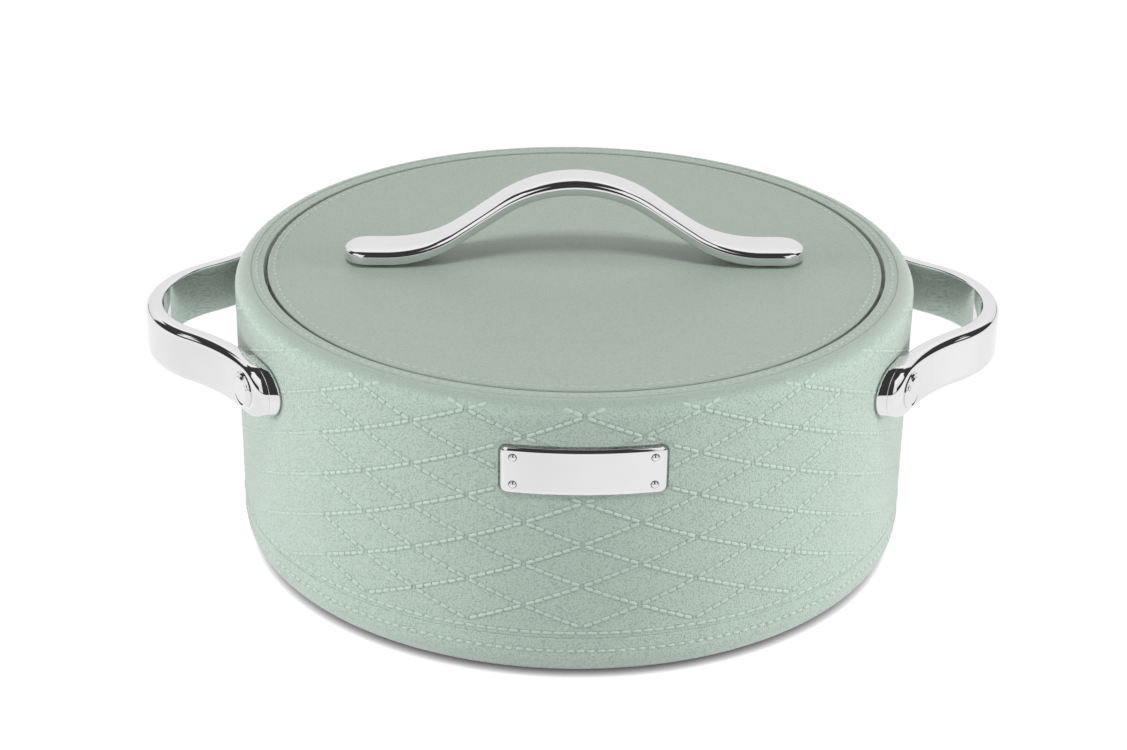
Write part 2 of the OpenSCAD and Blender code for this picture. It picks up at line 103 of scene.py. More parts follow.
class Wire:
    """Output of a shader node: sums on wires add Math nodes, and node() adds any other."""

    def __init__(self, tree, socket=None):
        self.tree = tree
        self.socket = socket

    def node(self, kind, settings, values, out=0):
        made = self.tree.nodes.new("ShaderNode" + kind)
        for name, value in settings.items():
            setattr(made, name, value)
        for name, value in values.items():
            if isinstance(value, Wire):
                self.tree.links.new(value.socket, made.inputs[name])
            else:
                made.inputs[name].default_value = value
        return Wire(self.tree, made.outputs[out])

    def math(self, operation, *values):
        return self.node("Math", {"operation": operation}, dict(enumerate((self, *values))))

    def __add__(self, other):
        return self.math("ADD", other)

    def __sub__(self, other):
        return self.math("SUBTRACT", other)

    def __rsub__(self, other):
        return self.node("Math", {"operation": "SUBTRACT"}, {0: other, 1: self})

    def __mul__(self, other):
        return self.math("MULTIPLY", other)

    def __truediv__(self, other):
        return self.math("DIVIDE", other)

    __radd__ = __add__
    __rmul__ = __mul__

    def between(self, low, high):
        """0 below low, 1 above high, with a smooth rise between them; it falls where high is below low."""
        return self.node(
            "MapRange", {"interpolation_type": "SMOOTHSTEP"},
            {"Value": self, "From Min": low, "From Max": high})

    def tint(self, low, high):
        """Colour that goes from low to high as this wire goes from 0 to 1."""
        return self.node("Mix", {"data_type": "RGBA"}, {0: self, 6: (*low, 1), 7: (*high, 1)}, 2)

    def noise(self, size, detail=2):
        """Soft noise on this position, with blobs of a size in millimetres."""
        return self.node("TexNoise", {}, {"Vector": self, "Scale": 1 / (size * mm), "Detail": detail})

    def axis(self, name):
        """One of X, Y and Z of this position, in millimetres."""
        return self.node("SeparateXYZ", {}, {"Vector": self}, name) / mm

    def bump(self, height):
        """Normal of a surface with a relief in millimetres."""
        return self.node("Bump", {}, {"Height": height, "Distance": mm})


def finished(name, look):
    """Material whose shader inputs come from look(position on the piece)."""
    made = bpy.data.materials.new(name)
    made.use_nodes = True
    tree = made.node_tree
    tree.nodes.remove(tree.nodes["Principled BSDF"])
    place = Wire(tree).node("TexCoord", {}, {}, "Object")
    shader = place.node("BsdfPrincipled", {}, look(place))
    tree.links.new(shader.socket, tree.nodes["Material Output"].inputs["Surface"])
    return made


sage = (0.381, 0.474, 0.413)


def grain(place, cell):
    """Leather grain with cells of a size in millimetres: 0 in its creases and 1 on its pebbles."""
    bent = place.node("VectorMath", {"operation": "MULTIPLY_ADD"}, {
        0: place.node("TexNoise", {}, {"Vector": place, "Scale": 0.7 / (cell * mm)}, "Color"),
        1: (0.35 * cell * mm,) * 3, 2: place})
    far = bent.node("TexVoronoi", {}, {"Vector": bent, "Scale": 1 / (cell * mm)}, "Distance")
    return 1 - far * far


def moulded(place, tone, cell, relief, height=0.0, shade=0.0):
    """Plastic of a tone, with leather grain of a cell and relief in millimetres, other relief and painted
    shade.
    """
    pebbles = grain(place, cell)
    cloud = place.noise(22, 3)
    # Painted shade: the colour darkens in the grain's creases and wherever shade is given.
    creases = (pebbles.between(0.35, 1.0) - 0.6) * (2.1 * relief)
    level = 1 + creases + (cloud - 0.5) * 0.08 - 0.4 * shade
    return {
        "Base Color": place.node("VectorMath", {"operation": "SCALE"}, {0: tone, "Scale": level}),
        "Roughness": 0.46 + 0.14 * cloud - 0.08 * pebbles,
        "Specular IOR Level": 0.8,
        "Sheen Weight": 0.35,
        "Sheen Roughness": 0.45,
        "Normal": place.bump(pebbles * relief + cloud * 0.02 + height),
    }


cover_low, cover_high = in_mm("base_cover")
cover_t = 2.5
cover_cell = 0.8
cover_relief = 0.03
foot_ring_w = 7
foot_ring_in = 4
fine_rings = (96, 62)
fine_ring_half = 3
fine_ring_top_half = 2
fine_ring_rise = 0.5
fine_ring_edge_r = 0.6
cover_under = cover_high.z - cover_t
foot_out_r = cover_high.x - foot_ring_in
foot_in_r = foot_out_r - foot_ring_w
stiffening = [
    (ring_r + off, cover_under + rise, fine_ring_edge_r) for ring_r in fine_rings
    for off, rise in ((fine_ring_half, 0), (fine_ring_top_half, fine_ring_rise),
                      (-fine_ring_top_half, fine_ring_rise), (-fine_ring_half, 0))]
base_disc = shown("base_disc", spun([
    (0, cover_high.z, 0),
    (cover_high.x, cover_high.z, 0.3),
    (cover_high.x, cover_under, 0.4),
    (foot_out_r, cover_under, 0.2),
    (foot_out_r, cover_low.z, 0.2),
    (foot_in_r, cover_low.z, 0.2),
    (foot_in_r, cover_under, 0.2),
    *stiffening,
    (0, cover_under, 0),
]), finished("base plastic", lambda place: moulded(place, sage, cover_cell, cover_relief)))
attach(base_disc, "pot")
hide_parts("base_cover")

# Outer wall: one moulding in sage plastic with a leather grain, rolled over at the shoulder into a flat rim.
# Inside the rim a well takes the lid and its ledge carries the bowl; fine grooves run round rim and base.
shell_low, shell_high = in_mm("outer_shell")
cover_gap = 0.15
shell_wall = 2.6
bottom_r = 12
shoulder_r = 7
wall_draft = 1
stitch_rise = 0.45
rim_w = 13.2
rim_rise = 0.3
rim_groove_out = 5.4
well_depth = 12
ledge_w = 8
land_w = 8
base_groove_z = 20.3
groove_half = 0.5
groove_deep = 0.4
well_r = shell_high.x - rim_w
rim_groove_r = well_r + rim_groove_out
rim_z = shell_high.z - rim_rise
ledge_z = shell_high.z - well_depth
ledge_r = well_r - ledge_w
bend_z = shell_low.z + bottom_r
shoulder_z = rim_z - shoulder_r
land_z = cover_high.z + cover_gap
land_top = land_z + shell_wall
land_r = cover_high.x - land_w


def wall_r(height):
    """Radius of the sloping wall under the stitches."""
    rise = (height - bend_z) / (shell_high.z - shoulder_r - bend_z)
    return shell_high.x - wall_draft + wall_draft * rise - stitch_rise


# The stitched diamonds run all round: clear to five columns beside the front and back lines, then faint.
column_turn = math.radians(9.12)
column_last = 5
level_low = 25.6
level_step = 9.57
level_last = 10
lattice_mid = 70
lattice_top = 121.5
column_step = column_turn * wall_r(lattice_mid)
edge_len = math.hypot(column_step, level_step)
edge_dashes = 6
node_gap = 1.0
dash_pitch = (edge_len - 2 * node_gap) / edge_dashes

# Fine relief has a half width at its outer edge and one at its full depth; a seam's is in columns.
stitch_groove = (1.45, 0.8)
row_groove = (1.2, 0.6)
hole_along = (0.65, 0.15)
hole_across = (0.75, 0.3)
seam_groove = (0.014, 0.004)
plate_gap_out = 0.9
plate_gap_in = 0.5

# Each row of stitches at the base has a height, a pitch and a length of its dashes.
base_rows = ((22.8, 4.6, 3.9), (14.3, 4.2, 2.9))

plate_low, plate_high = in_mm("name_plate")
plate_w = 67
plate_h = plate_high.z - plate_low.z
plate_z = (plate_low.z + plate_high.z) / 2
plate_corner_r = 2.9

# Painted light: the rim and lid take a greyer, darker copy of the sage, for how light falls on the tops.
painted_top_sage = (0.326, 0.396, 0.340)
wall_cell = 0.7
wall_relief = 0.15
rim_relief = 0.07


def stitched_wall(place):
    """Grained wall with shallow stitch grooves, needle holes and mould seams, all darkened by painted shade.
    """
    x, y, z = [place.axis(name) for name in "XYZ"]
    turn = x.math("ARCTAN2", y * -1).math("ABSOLUTE")
    beside = (turn * wall_r(plate_z) - (plate_w / 2 - plate_corner_r)).math("MAXIMUM", 0)
    above = ((z - plate_z).math("ABSOLUTE") - (plate_h / 2 - plate_corner_r)).math("MAXIMUM", 0)
    off_plate = (beside * beside + above * above).math("SQRT")
    by_plate = off_plate.between(plate_corner_r + plate_gap_out, plate_corner_r + plate_gap_in)
    plate_gap = by_plate * z.between(plate_low.z, plate_low.z + plate_corner_r)
    column = turn.math("MINIMUM", math.pi - turn) / column_turn
    level = (z - level_low) / level_step
    spread = 1 / math.hypot(1 / column_step, 1 / level_step)
    rising = (column - level).math("PINGPONG", 1) * spread
    falling = (column + level).math("PINGPONG", 1) * spread
    clear = column.between(column_last + 0.02, column_last)
    inside = level.between(-0.12, 0) * z.between(lattice_top + 1.5, lattice_top)
    falling_groove = falling.between(*stitch_groove) * (0.4 + 0.6 * clear)
    rising_groove = rising.between(*stitch_groove) * (0.1 + 0.9 * clear)
    groove = falling_groove.math("MAXIMUM", rising_groove) * inside
    along = (column.math("FRACT") * edge_len - node_gap) / dash_pitch
    off_hole = along.math("PINGPONG", 0.5) * dash_pitch
    on_edge = rising.math("MINIMUM", falling).between(*hole_across)
    hole = off_hole.between(*hole_along) * on_edge * inside * clear
    seam = (column - column_last).math("ABSOLUTE").between(*seam_groove) * z.between(26, 30) * inside
    base_groove = sum((z - row[0]).math("ABSOLUTE").between(*row_groove) for row in base_rows)
    height = groove * -0.12 - hole * 0.12 - seam * 0.05 - base_groove * 0.12 - plate_gap * 0.45
    # Painted shade: the colour darkens in the grooves, needle holes, seams, base grooves and round the plate.
    shade = groove * 0.28 + hole * 0.16 + seam * 0.2 + base_groove * 0.2 + plate_gap * 1.6
    # The rim takes the painted top tone and a shallower grain.
    flat = (z - shoulder_z).between(0.3 * shoulder_r, shoulder_r)
    relief = wall_relief - (wall_relief - rim_relief) * flat
    return moulded(place, flat.tint(sage, painted_top_sage), wall_cell, relief, height, shade)


groove_low = base_groove_z - groove_half
groove_high = base_groove_z + groove_half
inside_z = rim_z - shell_wall
skin = shell_wall - stitch_rise
wall = shown("wall", spun([
    (cover_high.x + cover_gap, shell_low.z, 0.2),
    (wall_r(shell_low.z), shell_low.z, bottom_r),
    (wall_r(groove_low), groove_low, 0.2),
    (wall_r(base_groove_z) - groove_deep, base_groove_z, 0.2),
    (wall_r(groove_high), groove_high, 0.2),
    (wall_r(rim_z), rim_z, shoulder_r),
    (rim_groove_r + groove_half, rim_z, 0.1),
    (rim_groove_r, rim_z - groove_deep, 0.2),
    (rim_groove_r - groove_half, rim_z, 0.1),
    (well_r, rim_z, 0.45),
    (well_r, ledge_z, 0.3),
    (ledge_r, ledge_z, 0.4),
    (ledge_r, ledge_z - shell_wall, 0.4),
    (well_r + shell_wall, ledge_z - shell_wall, 0.4),
    (well_r + shell_wall, inside_z, 0.4),
    (wall_r(inside_z) - skin, inside_z, shoulder_r - shell_wall),
    (wall_r(land_top) - skin, land_top, 4),
    (land_r, land_top, 0.3),
    (land_r, land_z, 0.2),
    (cover_high.x + cover_gap, land_z, 0),
]), finished("grained plastic", stitched_wall))
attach(wall, "pot")
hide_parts("outer_shell")

# Stitches: raised dashes moulded with the wall like saddle stitching, smooth, and paler by a painted
# highlight.
# They lie in diamonds, clear at the front and back and faint at the sides, and in rings at base and rim.
# Painted highlight: paler copies of the sage stand in for the light the dashes catch, less pale at the sides.
painted_stitch_sage = (0.445, 0.545, 0.482)
painted_side_stitch_sage = (0.420, 0.517, 0.454)
stitch_relief = 0.03


def stitch_finish(name, tone):
    """Plastic of a set of stitches, with hardly any grain."""
    return finished(name, lambda place: moulded(place, tone, wall_cell, stitch_relief))


stitch_plastic = stitch_finish("stitch plastic", painted_stitch_sage)
side_stitch_plastic = stitch_finish("side stitch plastic", painted_side_stitch_sage)


def stitch_dash(length, width, height):
    """One dash along X, cut flat underneath, with its middle at the origin."""
    mesh = bmesh.new()
    bmesh.ops.create_uvsphere(mesh, u_segments=10, v_segments=6, radius=width / 2)
    bmesh.ops.rotate(mesh, verts=mesh.verts, cent=(0, 0, 0), matrix=Matrix.Rotation(math.pi / 2, 3, "Y"))
    for way in (-1, 1):
        bmesh.ops.translate(
            mesh, verts=[v for v in mesh.verts if v.co.x * way > 0.1 * width],
            vec=(way * (length - width) / 2, 0, 0))
    bmesh.ops.scale(mesh, vec=(1, 1, 2 * height / width), verts=mesh.verts)
    bmesh.ops.bisect_plane(
        mesh, geom=mesh.verts[:] + mesh.edges[:] + mesh.faces[:], dist=1e-5,
        plane_co=(0, 0, -0.3 * height), plane_no=(0, 0, 1), clear_inner=True)
    bmesh.ops.holes_fill(mesh, edges=[edge for edge in mesh.edges if edge.is_boundary], sides=0)
    return mesh_data("dash", mesh)


def lay(mesh, shape, place, along, out):
    """Adds a small shape at a place, with its X along one direction and its Z out of the surface."""
    across = out.cross(along).normalized()
    turned = Matrix((across.cross(out), across, out)).transposed().to_4x4()
    one = shape.copy()
    one.transform(Matrix.Translation(place) @ turned)
    mesh.from_mesh(one)
    bpy.data.meshes.remove(one)


def on_wall(turn, height):
    """Place and outward direction on the wall at a turn from the front and a height.

    Past the wall's top the height runs on over the shoulder.
    """
    straight = min(height, shoulder_z)
    past = (height - straight) / shoulder_r
    radius = wall_r(straight) - shoulder_r * (1 - math.cos(past))
    level = Vector((math.sin(turn), -math.cos(turn), 0))
    place = level * radius + Vector((0, 0, straight + shoulder_r * math.sin(past)))
    return place, level * math.cos(past) + Vector((0, 0, math.sin(past)))


def lay_on_wall(mesh, dash, turn, height, turn_step, height_step):
    """Adds a dash on the wall that runs the way of a small step in turn and height."""
    place, out = on_wall(turn, height)
    ahead, _ = on_wall(turn + 0.01 * turn_step, height + 0.01 * height_step)
    lay(mesh, dash, place, (ahead - place).normalized(), out)


def under_plate(turn, height):
    """True where the front plate covers the wall."""
    beside = abs(turn) * wall_r(plate_z) - plate_w / 2
    return max(beside, abs(height - plate_z) - plate_h / 2) < dash_pitch / 2


pad_low, pad_high = in_mm("right_rear_pad")
pad_end_y = 62.5
pad_clear = 0.8
foot_y = 72
strap_z = (pad_low.z + pad_high.z) / 2
nose_r = (pad_high.z - pad_low.z) / 2


def under_pad(turn, height):
    """True where a handle's pad covers the wall."""
    y = abs(wall_r(strap_z) * math.cos(turn))
    return math.hypot(max(0, y - foot_y, pad_end_y - y), height - strap_z) < nose_r + pad_clear


# An edge of a diamond starts at a column and level of one quarter, and goes a way along and up or down.
quarter_columns = 10
top_dashes = 2
lattice_edges = [
    (column, level + (column + level) % 2, 1, 1 - 2 * ((column + level) % 2), edge_dashes)
    for column in range(quarter_columns) for level in range(level_last)]
lattice_edges += [
    (column, level_last, way, 1, top_dashes)
    for column in range(0, quarter_columns, 2) for way in (-1, 1) if column + way > 0]
clear_columns = range(column_last)
side_columns = range(column_last, quarter_columns)
clear_dash = stitch_dash(3.65, 1.65, 0.42)
side_dash = stitch_dash(3.7, 1.2, 0.2)
faint_dash = stitch_dash(3.6, 1.0, 0.08)
for sector, columns, halves, falling_dash, rising_dash, plastic in (
        ("front", clear_columns, (1,), clear_dash, clear_dash, stitch_plastic),
        ("back", clear_columns, (-1,), clear_dash, clear_dash, stitch_plastic),
        ("side", side_columns, (1, -1), side_dash, faint_dash, side_stitch_plastic)):
    mesh = bmesh.new()
    for column, level, way, climb, count in lattice_edges:
        if min(column, column + way) not in columns:
            continue
        dash = falling_dash if climb * way < 0 else rising_dash
        for number in range(count):
            share = (node_gap + (number + 0.5) * dash_pitch) / edge_len
            turn = (column + way * share) * column_turn
            height = level_low + (level + climb * share) * level_step
            if turn > math.pi / 2 or under_pad(turn, height):
                continue
            for half in halves:
                for side in (-1, 1):
                    if half < 0 or not under_plate(turn, height):
                        lay_on_wall(
                            mesh, dash, side * turn if half > 0 else math.pi - side * turn, height,
                            side * half * way * column_turn, climb * level_step)
    stitches = shown(sector + "_stitches", mesh, plastic)
    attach(stitches, "pot")

base_stitch_w = 1.4
base_stitch_h = 0.34
mesh = bmesh.new()
for height, pitch, length in base_rows:
    base_dash = stitch_dash(length, base_stitch_w, base_stitch_h)
    count = round(2 * math.pi * wall_r(height) / pitch)
    for number in range(count):
        lay_on_wall(mesh, base_dash, 2 * math.pi * number / count, height, 0.1, 0)
base_stitches = shown("base_stitches", mesh, stitch_plastic)
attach(base_stitches, "pot")


def ring_of(dash, radius, height, pitch):
    """Dashes in a level circle on top of a surface."""
    mesh = bmesh.new()
    count = round(2 * math.pi * radius / pitch)
    for number in range(count):
        turn = 2 * math.pi * number / count
        lay(mesh, dash, Vector((radius * math.cos(turn), radius * math.sin(turn), height)),
            Vector((-math.sin(turn), math.cos(turn), 0)), Vector((0, 0, 1)))
    return mesh


# Painted highlight: the rim and lid stitches take a paler copy of the painted top tone.
painted_top_stitch_sage = (0.378, 0.458, 0.394)
top_stitch_plastic = stitch_finish("rim stitch plastic", painted_top_stitch_sage)
ring_pitch = 4.4
ring_stitch_w = 1.2
rim_stitch_out = 3
rim_dash = stitch_dash(3.1, ring_stitch_w, rim_rise)
rim_ring = ring_of(rim_dash, well_r + rim_stitch_out, rim_z, ring_pitch)
rim_stitches = shown("rim_stitches", rim_ring, top_stitch_plastic)
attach(rim_stitches, "pot")

# Insulation: rigid foam that fills the room between wall and bowl, poured in and closed by the base cover.
# It is out of sight, and the CAD solid has its shape.


def foamed(place):
    """Straw-coloured foam with small closed bubbles."""
    bubbles = grain(place, 1.6)
    return {
        "Base Color": (bubbles * 0.6 + place.noise(15) * 0.4).tint((0.62, 0.54, 0.30), (0.80, 0.73, 0.47)),
        "Roughness": 0.9 - 0.1 * bubbles,
        "Normal": place.bump(bubbles * 0.25),
    }


def coat(node, finish):
    """Gives a finish to a CAD node that is shown as it is."""
    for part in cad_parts[node].material_slots:
        part.material = finish


foam = finished("rigid foam", foamed)
coat("body_insulation", foam)

# Bowl: deep-drawn stainless steel sheet, spun smooth inside, with a flat lip that hangs on the wall's ledge.
# A raised disc in its floor keeps the sheet from drumming.
bowl_low, bowl_high = in_mm("inner_bowl")
bowl_t = 0.8
bowl_gap = 0.4
bowl_slope = math.radians(3)
bowl_corner_r = 24
floor_step_r = 78
floor_step_w = 2
floor_step_z = 0.8
floor_step_edge_r = 2
lip_low = bowl_high.z - bowl_t
bowl_top_r = ledge_r - bowl_gap


def bowl_side(height, inset):
    """Radius of the bowl's wall at a height, moved in from its outside."""
    return bowl_top_r - inset / math.cos(bowl_slope) - (lip_low - height) * math.tan(bowl_slope)


def brushed(place, colour, rough, pitch):
    """Steel with the fine rings that spinning and polishing leave."""
    x, y, z = [place.axis(name) for name in "XYZ"]
    radius = (x * x + y * y).math("SQRT")
    rings = place.node("TexNoise", {}, {
        "Vector": place.node("CombineXYZ", {}, {
            "X": radius / pitch, "Y": z / pitch, "Z": x.math("ARCTAN2", y) * 1.5}),
        "Scale": 1.0, "Detail": 3})
    smear = place.noise(30, 3)
    deep = tuple(0.86 * value for value in colour)
    return {
        "Base Color": (rings * 0.6 + smear * 0.4).tint(deep, colour),
        "Metallic": 1.0,
        "Roughness": rough - 0.08 + 0.1 * rings + 0.08 * smear,
        "Normal": place.bump(rings * 0.006),
    }


stainless = finished("brushed stainless", lambda place: brushed(place, (0.66, 0.67, 0.68), 0.26, 0.22))
bowl = shown("bowl", spun([
    (0, bowl_low.z + floor_step_z, 0),
    (floor_step_r - floor_step_w, bowl_low.z + floor_step_z, floor_step_edge_r),
    (floor_step_r, bowl_low.z, floor_step_edge_r),
    (bowl_side(bowl_low.z, 0), bowl_low.z, bowl_corner_r),
    (bowl_side(lip_low, 0), lip_low, 0.5),
    (bowl_high.x, lip_low, 0.25),
    (bowl_high.x, bowl_high.z, 0.25),
    (bowl_side(bowl_high.z, bowl_t), bowl_high.z, 1.3),
    (bowl_side(bowl_low.z + bowl_t, bowl_t), bowl_low.z + bowl_t, bowl_corner_r - bowl_t),
    (floor_step_r, bowl_low.z + bowl_t, floor_step_edge_r),
    (floor_step_r - floor_step_w, bowl_low.z + bowl_t + floor_step_z, floor_step_edge_r),
    (0, bowl_low.z + bowl_t + floor_step_z, 0),
]), stainless)
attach(bowl, "pot")
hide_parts("inner_bowl")

# Handle pads: plated plastic blocks between each strap foot and the wall, with a long screw through each.
# They follow the foot's round end in front and the wall behind, and are eased along the wall.
_, strap_high = in_mm("right_handle")
strap_t = 7.4
foot_t = 4.6
foot_depth = 10
foot_tilt = math.radians(30)
foot_flat = 4
bend_r = 50
bend_x = strap_high.x - bend_r
foot_x = math.sqrt((wall_r(strap_z) + stitch_rise) ** 2 - foot_y ** 2) + foot_depth
foot_face = Vector((foot_x, foot_y))
foot_normal = Vector((math.cos(foot_tilt), math.sin(foot_tilt)))
flat_end = foot_face + foot_flat * Vector((math.sin(foot_tilt), -math.cos(foot_tilt)))
from_bend = flat_end - Vector((bend_x, 0))
arm_r = (from_bend.dot(from_bend) - bend_r ** 2) / (2 * (bend_r - from_bend.dot(foot_normal)))
arm_mid = flat_end + arm_r * foot_normal
meet_angle = math.atan2(arm_mid.y, arm_mid.x - bend_x)


def strap_x(y, inset):
    """X of a strap's face at a given Y, moved in from its outer face: a wide bend, an arm and a flat foot."""
    a = abs(y)
    bend = bend_r - inset
    arm = arm_r + inset
    arm_y = arm_mid.y - arm * math.sin(foot_tilt)
    if a < bend * math.sin(meet_angle):
        return bend_x + math.sqrt(bend ** 2 - a ** 2)
    if a < arm_y:
        return arm_mid.x - math.sqrt(arm ** 2 - (arm_mid.y - a) ** 2)
    return arm_mid.x - arm * math.cos(foot_tilt) - (a - arm_y) * math.tan(foot_tilt)


def rounded_slab(low, high, corner_r, rounded, depth, front_r, back_r, segments, plain_end=None):
    """Slab behind the plane X = 0, between a low and a high corner of (y, z), with some corners rounded.

    Its edges in front and behind are eased, but not those at a plain end.
    """
    mesh = bmesh.new()
    corners = (low, (high[0], low[1]), high, (low[0], high[1]))
    points = [mesh.verts.new((0, y, z)) for y, z in corners]
    mesh.faces.new(points)
    bmesh.ops.bevel(
        mesh, geom=[points[i] for i in rounded], affect="VERTICES", offset_type="OFFSET", offset=corner_r,
        segments=segments, profile=0.5, material=-1)
    pulled = bmesh.ops.extrude_face_region(mesh, geom=mesh.faces[:])
    behind = [item for item in pulled["geom"] if isinstance(item, bmesh.types.BMVert)]
    bmesh.ops.translate(mesh, verts=behind, vec=(-depth, 0, 0))
    bmesh.ops.recalc_face_normals(mesh, faces=mesh.faces)
    for x, easing, steps in ((0, front_r, 8), (-depth, back_r, 5)):
        edges = [
            edge for edge in mesh.edges if all(abs(v.co.x - x) < 1e-4 for v in edge.verts)
            and not all(v.co.y == plain_end for v in edge.verts)]
        bmesh.ops.bevel(
            mesh, geom=edges, affect="EDGES", offset_type="OFFSET", offset=easing, segments=steps,
            profile=0.5, clamp_overlap=False, material=-1)
    return mesh


def sliced(mesh, places):
    """Cuts a mesh across Y at each place, so that it can be bent."""
    for y in places:
        bmesh.ops.bisect_plane(
            mesh, geom=mesh.verts[:] + mesh.edges[:] + mesh.faces[:], dist=1e-5,
            plane_co=(0, y, 0), plane_no=(0, 1, 0))


def blend(start, end, share):
    """Value at a share of the way from a start to an end."""
    return start + (end - start) * share


def plated(place):
    """Mirror-bright plating on moulded plastic, with a trace of waviness and of wiping."""
    smear = place.noise(18, 4)
    return {
        "Base Color": smear.tint((0.80, 0.795, 0.80), (0.86, 0.855, 0.86)),
        "Metallic": 1.0,
        "Roughness": 0.025 + 0.05 * smear.between(0.45, 0.8),
        "Normal": place.bump(place.noise(9) * 0.012),
    }


chrome = finished("chrome plating", plated)
sides = ((-1, "left"), (1, "right"))
ends = ((-1, "front"), (1, "rear"))
pad_depth = 5
pad_front_r = 0.35
pad_back_r = 1.7
pad_slice = 1.5
pad_nose_y = foot_y + nose_r
nose_corner_r = nose_r - 0.01
nose_segments = 20
for side, side_name in sides:
    for end, end_name in ends:
        mesh = rounded_slab(
            (pad_end_y, strap_z - nose_r), (pad_nose_y, strap_z + nose_r), nose_corner_r, (1, 2),
            pad_depth, pad_front_r, pad_back_r, nose_segments, plain_end=pad_end_y)
        sliced(mesh, [pad_end_y + pad_slice * step for step in range(1, 14)])
        for point in mesh.verts:
            front = strap_x(point.co.y, foot_t)
            back = math.sqrt(wall_r(point.co.z) ** 2 - point.co.y ** 2)
            point.co.x = side * blend(front, back, -point.co.x / pad_depth)
            point.co.y *= end
        pad = shown(f"{side_name}_{end_name}_foot_block", mesh, chrome)
        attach(pad, "pot")
        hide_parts(f"{side_name}_{end_name}_pad")

# Strap handles: one broad curved strap on each side, moulded in plastic and plated bright.
# Its outer edges are well rounded, and its round-ended feet are hollowed behind to sit on the pads.
strap_edge_r = 3.4
strap_back_r = 1.0
strap_slice = 1.25
hollow_y = pad_end_y - 0.1
hollow_step = 0.05
for side, side_name in sides:
    mesh = rounded_slab(
        (-pad_nose_y, strap_z - nose_r), (pad_nose_y, strap_z + nose_r), nose_corner_r, (0, 1, 2, 3),
        strap_t, strap_edge_r, strap_back_r, nose_segments)
    sliced(mesh, [strap_slice * step for step in range(-57, 58)])
    sliced(mesh, [end * (hollow_y + gap) for end in (-1, 1) for gap in (0, hollow_step)])
    for point in mesh.verts:
        depth = -point.co.x
        if abs(point.co.y) > hollow_y + hollow_step / 2:
            depth = min(depth, foot_t)
        point.co.x = side * strap_x(point.co.y, depth)
    strap = shown(side_name + "_strap", mesh, chrome)
    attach(strap, "pot")
    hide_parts(side_name + "_handle")

# Handle fasteners: a turned steel screw through each foot and pad, with its nut behind the wall.
# A plated cover with a groove near its edge is pressed over each screw head.
turned_steel = finished("turned steel", lambda place: brushed(place, (0.55, 0.56, 0.57), 0.34, 0.35))
coat("handle_screws", turned_steel)
coat("handle_nuts", turned_steel)

cap_r = 7.9
cap_h = 1.5
cap_face_r = 5.6
cap_groove_r = 6.3
cap_groove_z = 0.6
cap_lip_r = 7.1
cap_lip_z = 1.2
cap_edge_z = 0.375
cap_seat_z = 0.02
cap_shape = mesh_data("screw cover", spun([
    (0, cap_h, 0),
    (cap_face_r, cap_h, 0.3),
    (cap_groove_r, cap_groove_z, 0.2),
    (cap_lip_r, cap_lip_z, 0.2),
    (cap_r, cap_edge_z, 0.2),
    (cap_r, cap_seat_z, 0),
    (0, cap_seat_z, 0),
], steps=96))
for side, side_name in sides:
    for end, end_name in ends:
        mesh = bmesh.new()
        out = Vector((side * foot_normal.x, end * foot_normal.y, 0))
        lay(mesh, cap_shape, Vector((side * foot_x, end * foot_y, strap_z)), Vector((-out.y, out.x, 0)), out)
        cap = shown(f"{side_name}_{end_name}_screw_cover", mesh, chrome, sharp=60)
        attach(cap, "pot")
        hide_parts(f"{side_name}_{end_name}_cap")

# Front plate: a small plate, plated bright, with pillowed edges and bent to follow the wall.
# Four domed rivets hold it at its corners.
plate_t = 1.2
pillow_w = 2.4
pillow_share = 0.45
plate_back_r = 0.1
plate_slice = 2
rivet_r = 1.5
rivet_h = 1.2
rivet_dome_r = 1.15
rivet_sunk = 0.2
rivet_in_x = 5.3
rivet_in_z = 4.3
crevice_out = 0.35
crevice_in = 0.1
rivet_dx = plate_w / 2 - rivet_in_x
rivet_dz = plate_h / 2 - rivet_in_z


def plate_plated(place):
    """Plating of the plate, with painted shade in a thin ring round the head of each rivet."""
    x, y, z = [place.axis(name) for name in "XYZ"]
    beside = x.math("ARCTAN2", y * -1).math("ABSOLUTE") * wall_r(plate_z) - rivet_dx
    above = (z - plate_z).math("ABSOLUTE") - rivet_dz
    off_rivet = (beside * beside + above * above).math("SQRT")
    painted_rivet_shade = off_rivet.between(rivet_r + crevice_out, rivet_r + crevice_in)
    look = plated(place)
    # Painted shade: the plating is mixed to near black in the ring.
    look["Base Color"] = place.node("Mix", {"data_type": "RGBA"}, {
        0: painted_rivet_shade, 6: look["Base Color"], 7: (0.12, 0.12, 0.12, 1)}, 2)
    return look


# The slab starts deep, gets round edges and is then pressed to the plate's thickness, which pillows them.
mesh = rounded_slab(
    (-plate_w / 2, -plate_h / 2), (plate_w / 2, plate_h / 2), plate_corner_r, (0, 1, 2, 3),
    plate_t / pillow_share, pillow_w, plate_back_r, segments=8)
sliced(mesh, [plate_slice * step for step in range(-16, 17)])
for point in mesh.verts:
    height = plate_z + point.co.z
    turn = point.co.y / wall_r(plate_z)
    radius = wall_r(height) + stitch_rise + plate_t + point.co.x * pillow_share * (1 + stitch_rise / plate_t)
    point.co = (radius * math.sin(turn), -radius * math.cos(turn), height)
plate = shown("front_plate", mesh, finished("plate plating", plate_plated))
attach(plate, "pot")
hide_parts("name_plate")

rivet_turn = rivet_dx / wall_r(plate_z)
rivet_head = mesh_data("rivet head", spun([
    (0, rivet_h, 0),
    (rivet_r, rivet_h, rivet_dome_r),
    (rivet_r, -rivet_sunk, 0),
    (0, -rivet_sunk, 0),
], steps=32))
heads = bmesh.new()
for side in (-1, 1):
    for row in (-1, 1):
        height = plate_z + row * rivet_dz
        turn = side * rivet_turn
        out = Vector((math.sin(turn), -math.cos(turn), 0))
        radius = wall_r(height) + stitch_rise + plate_t
        lay(heads, rivet_head, out * radius + Vector((0, 0, height)), Vector((-out.y, out.x, 0)), out)
rivets = shown("plate_rivet_heads", heads, chrome, sharp=60)
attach(rivets, "pot")
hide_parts("plate_rivets")

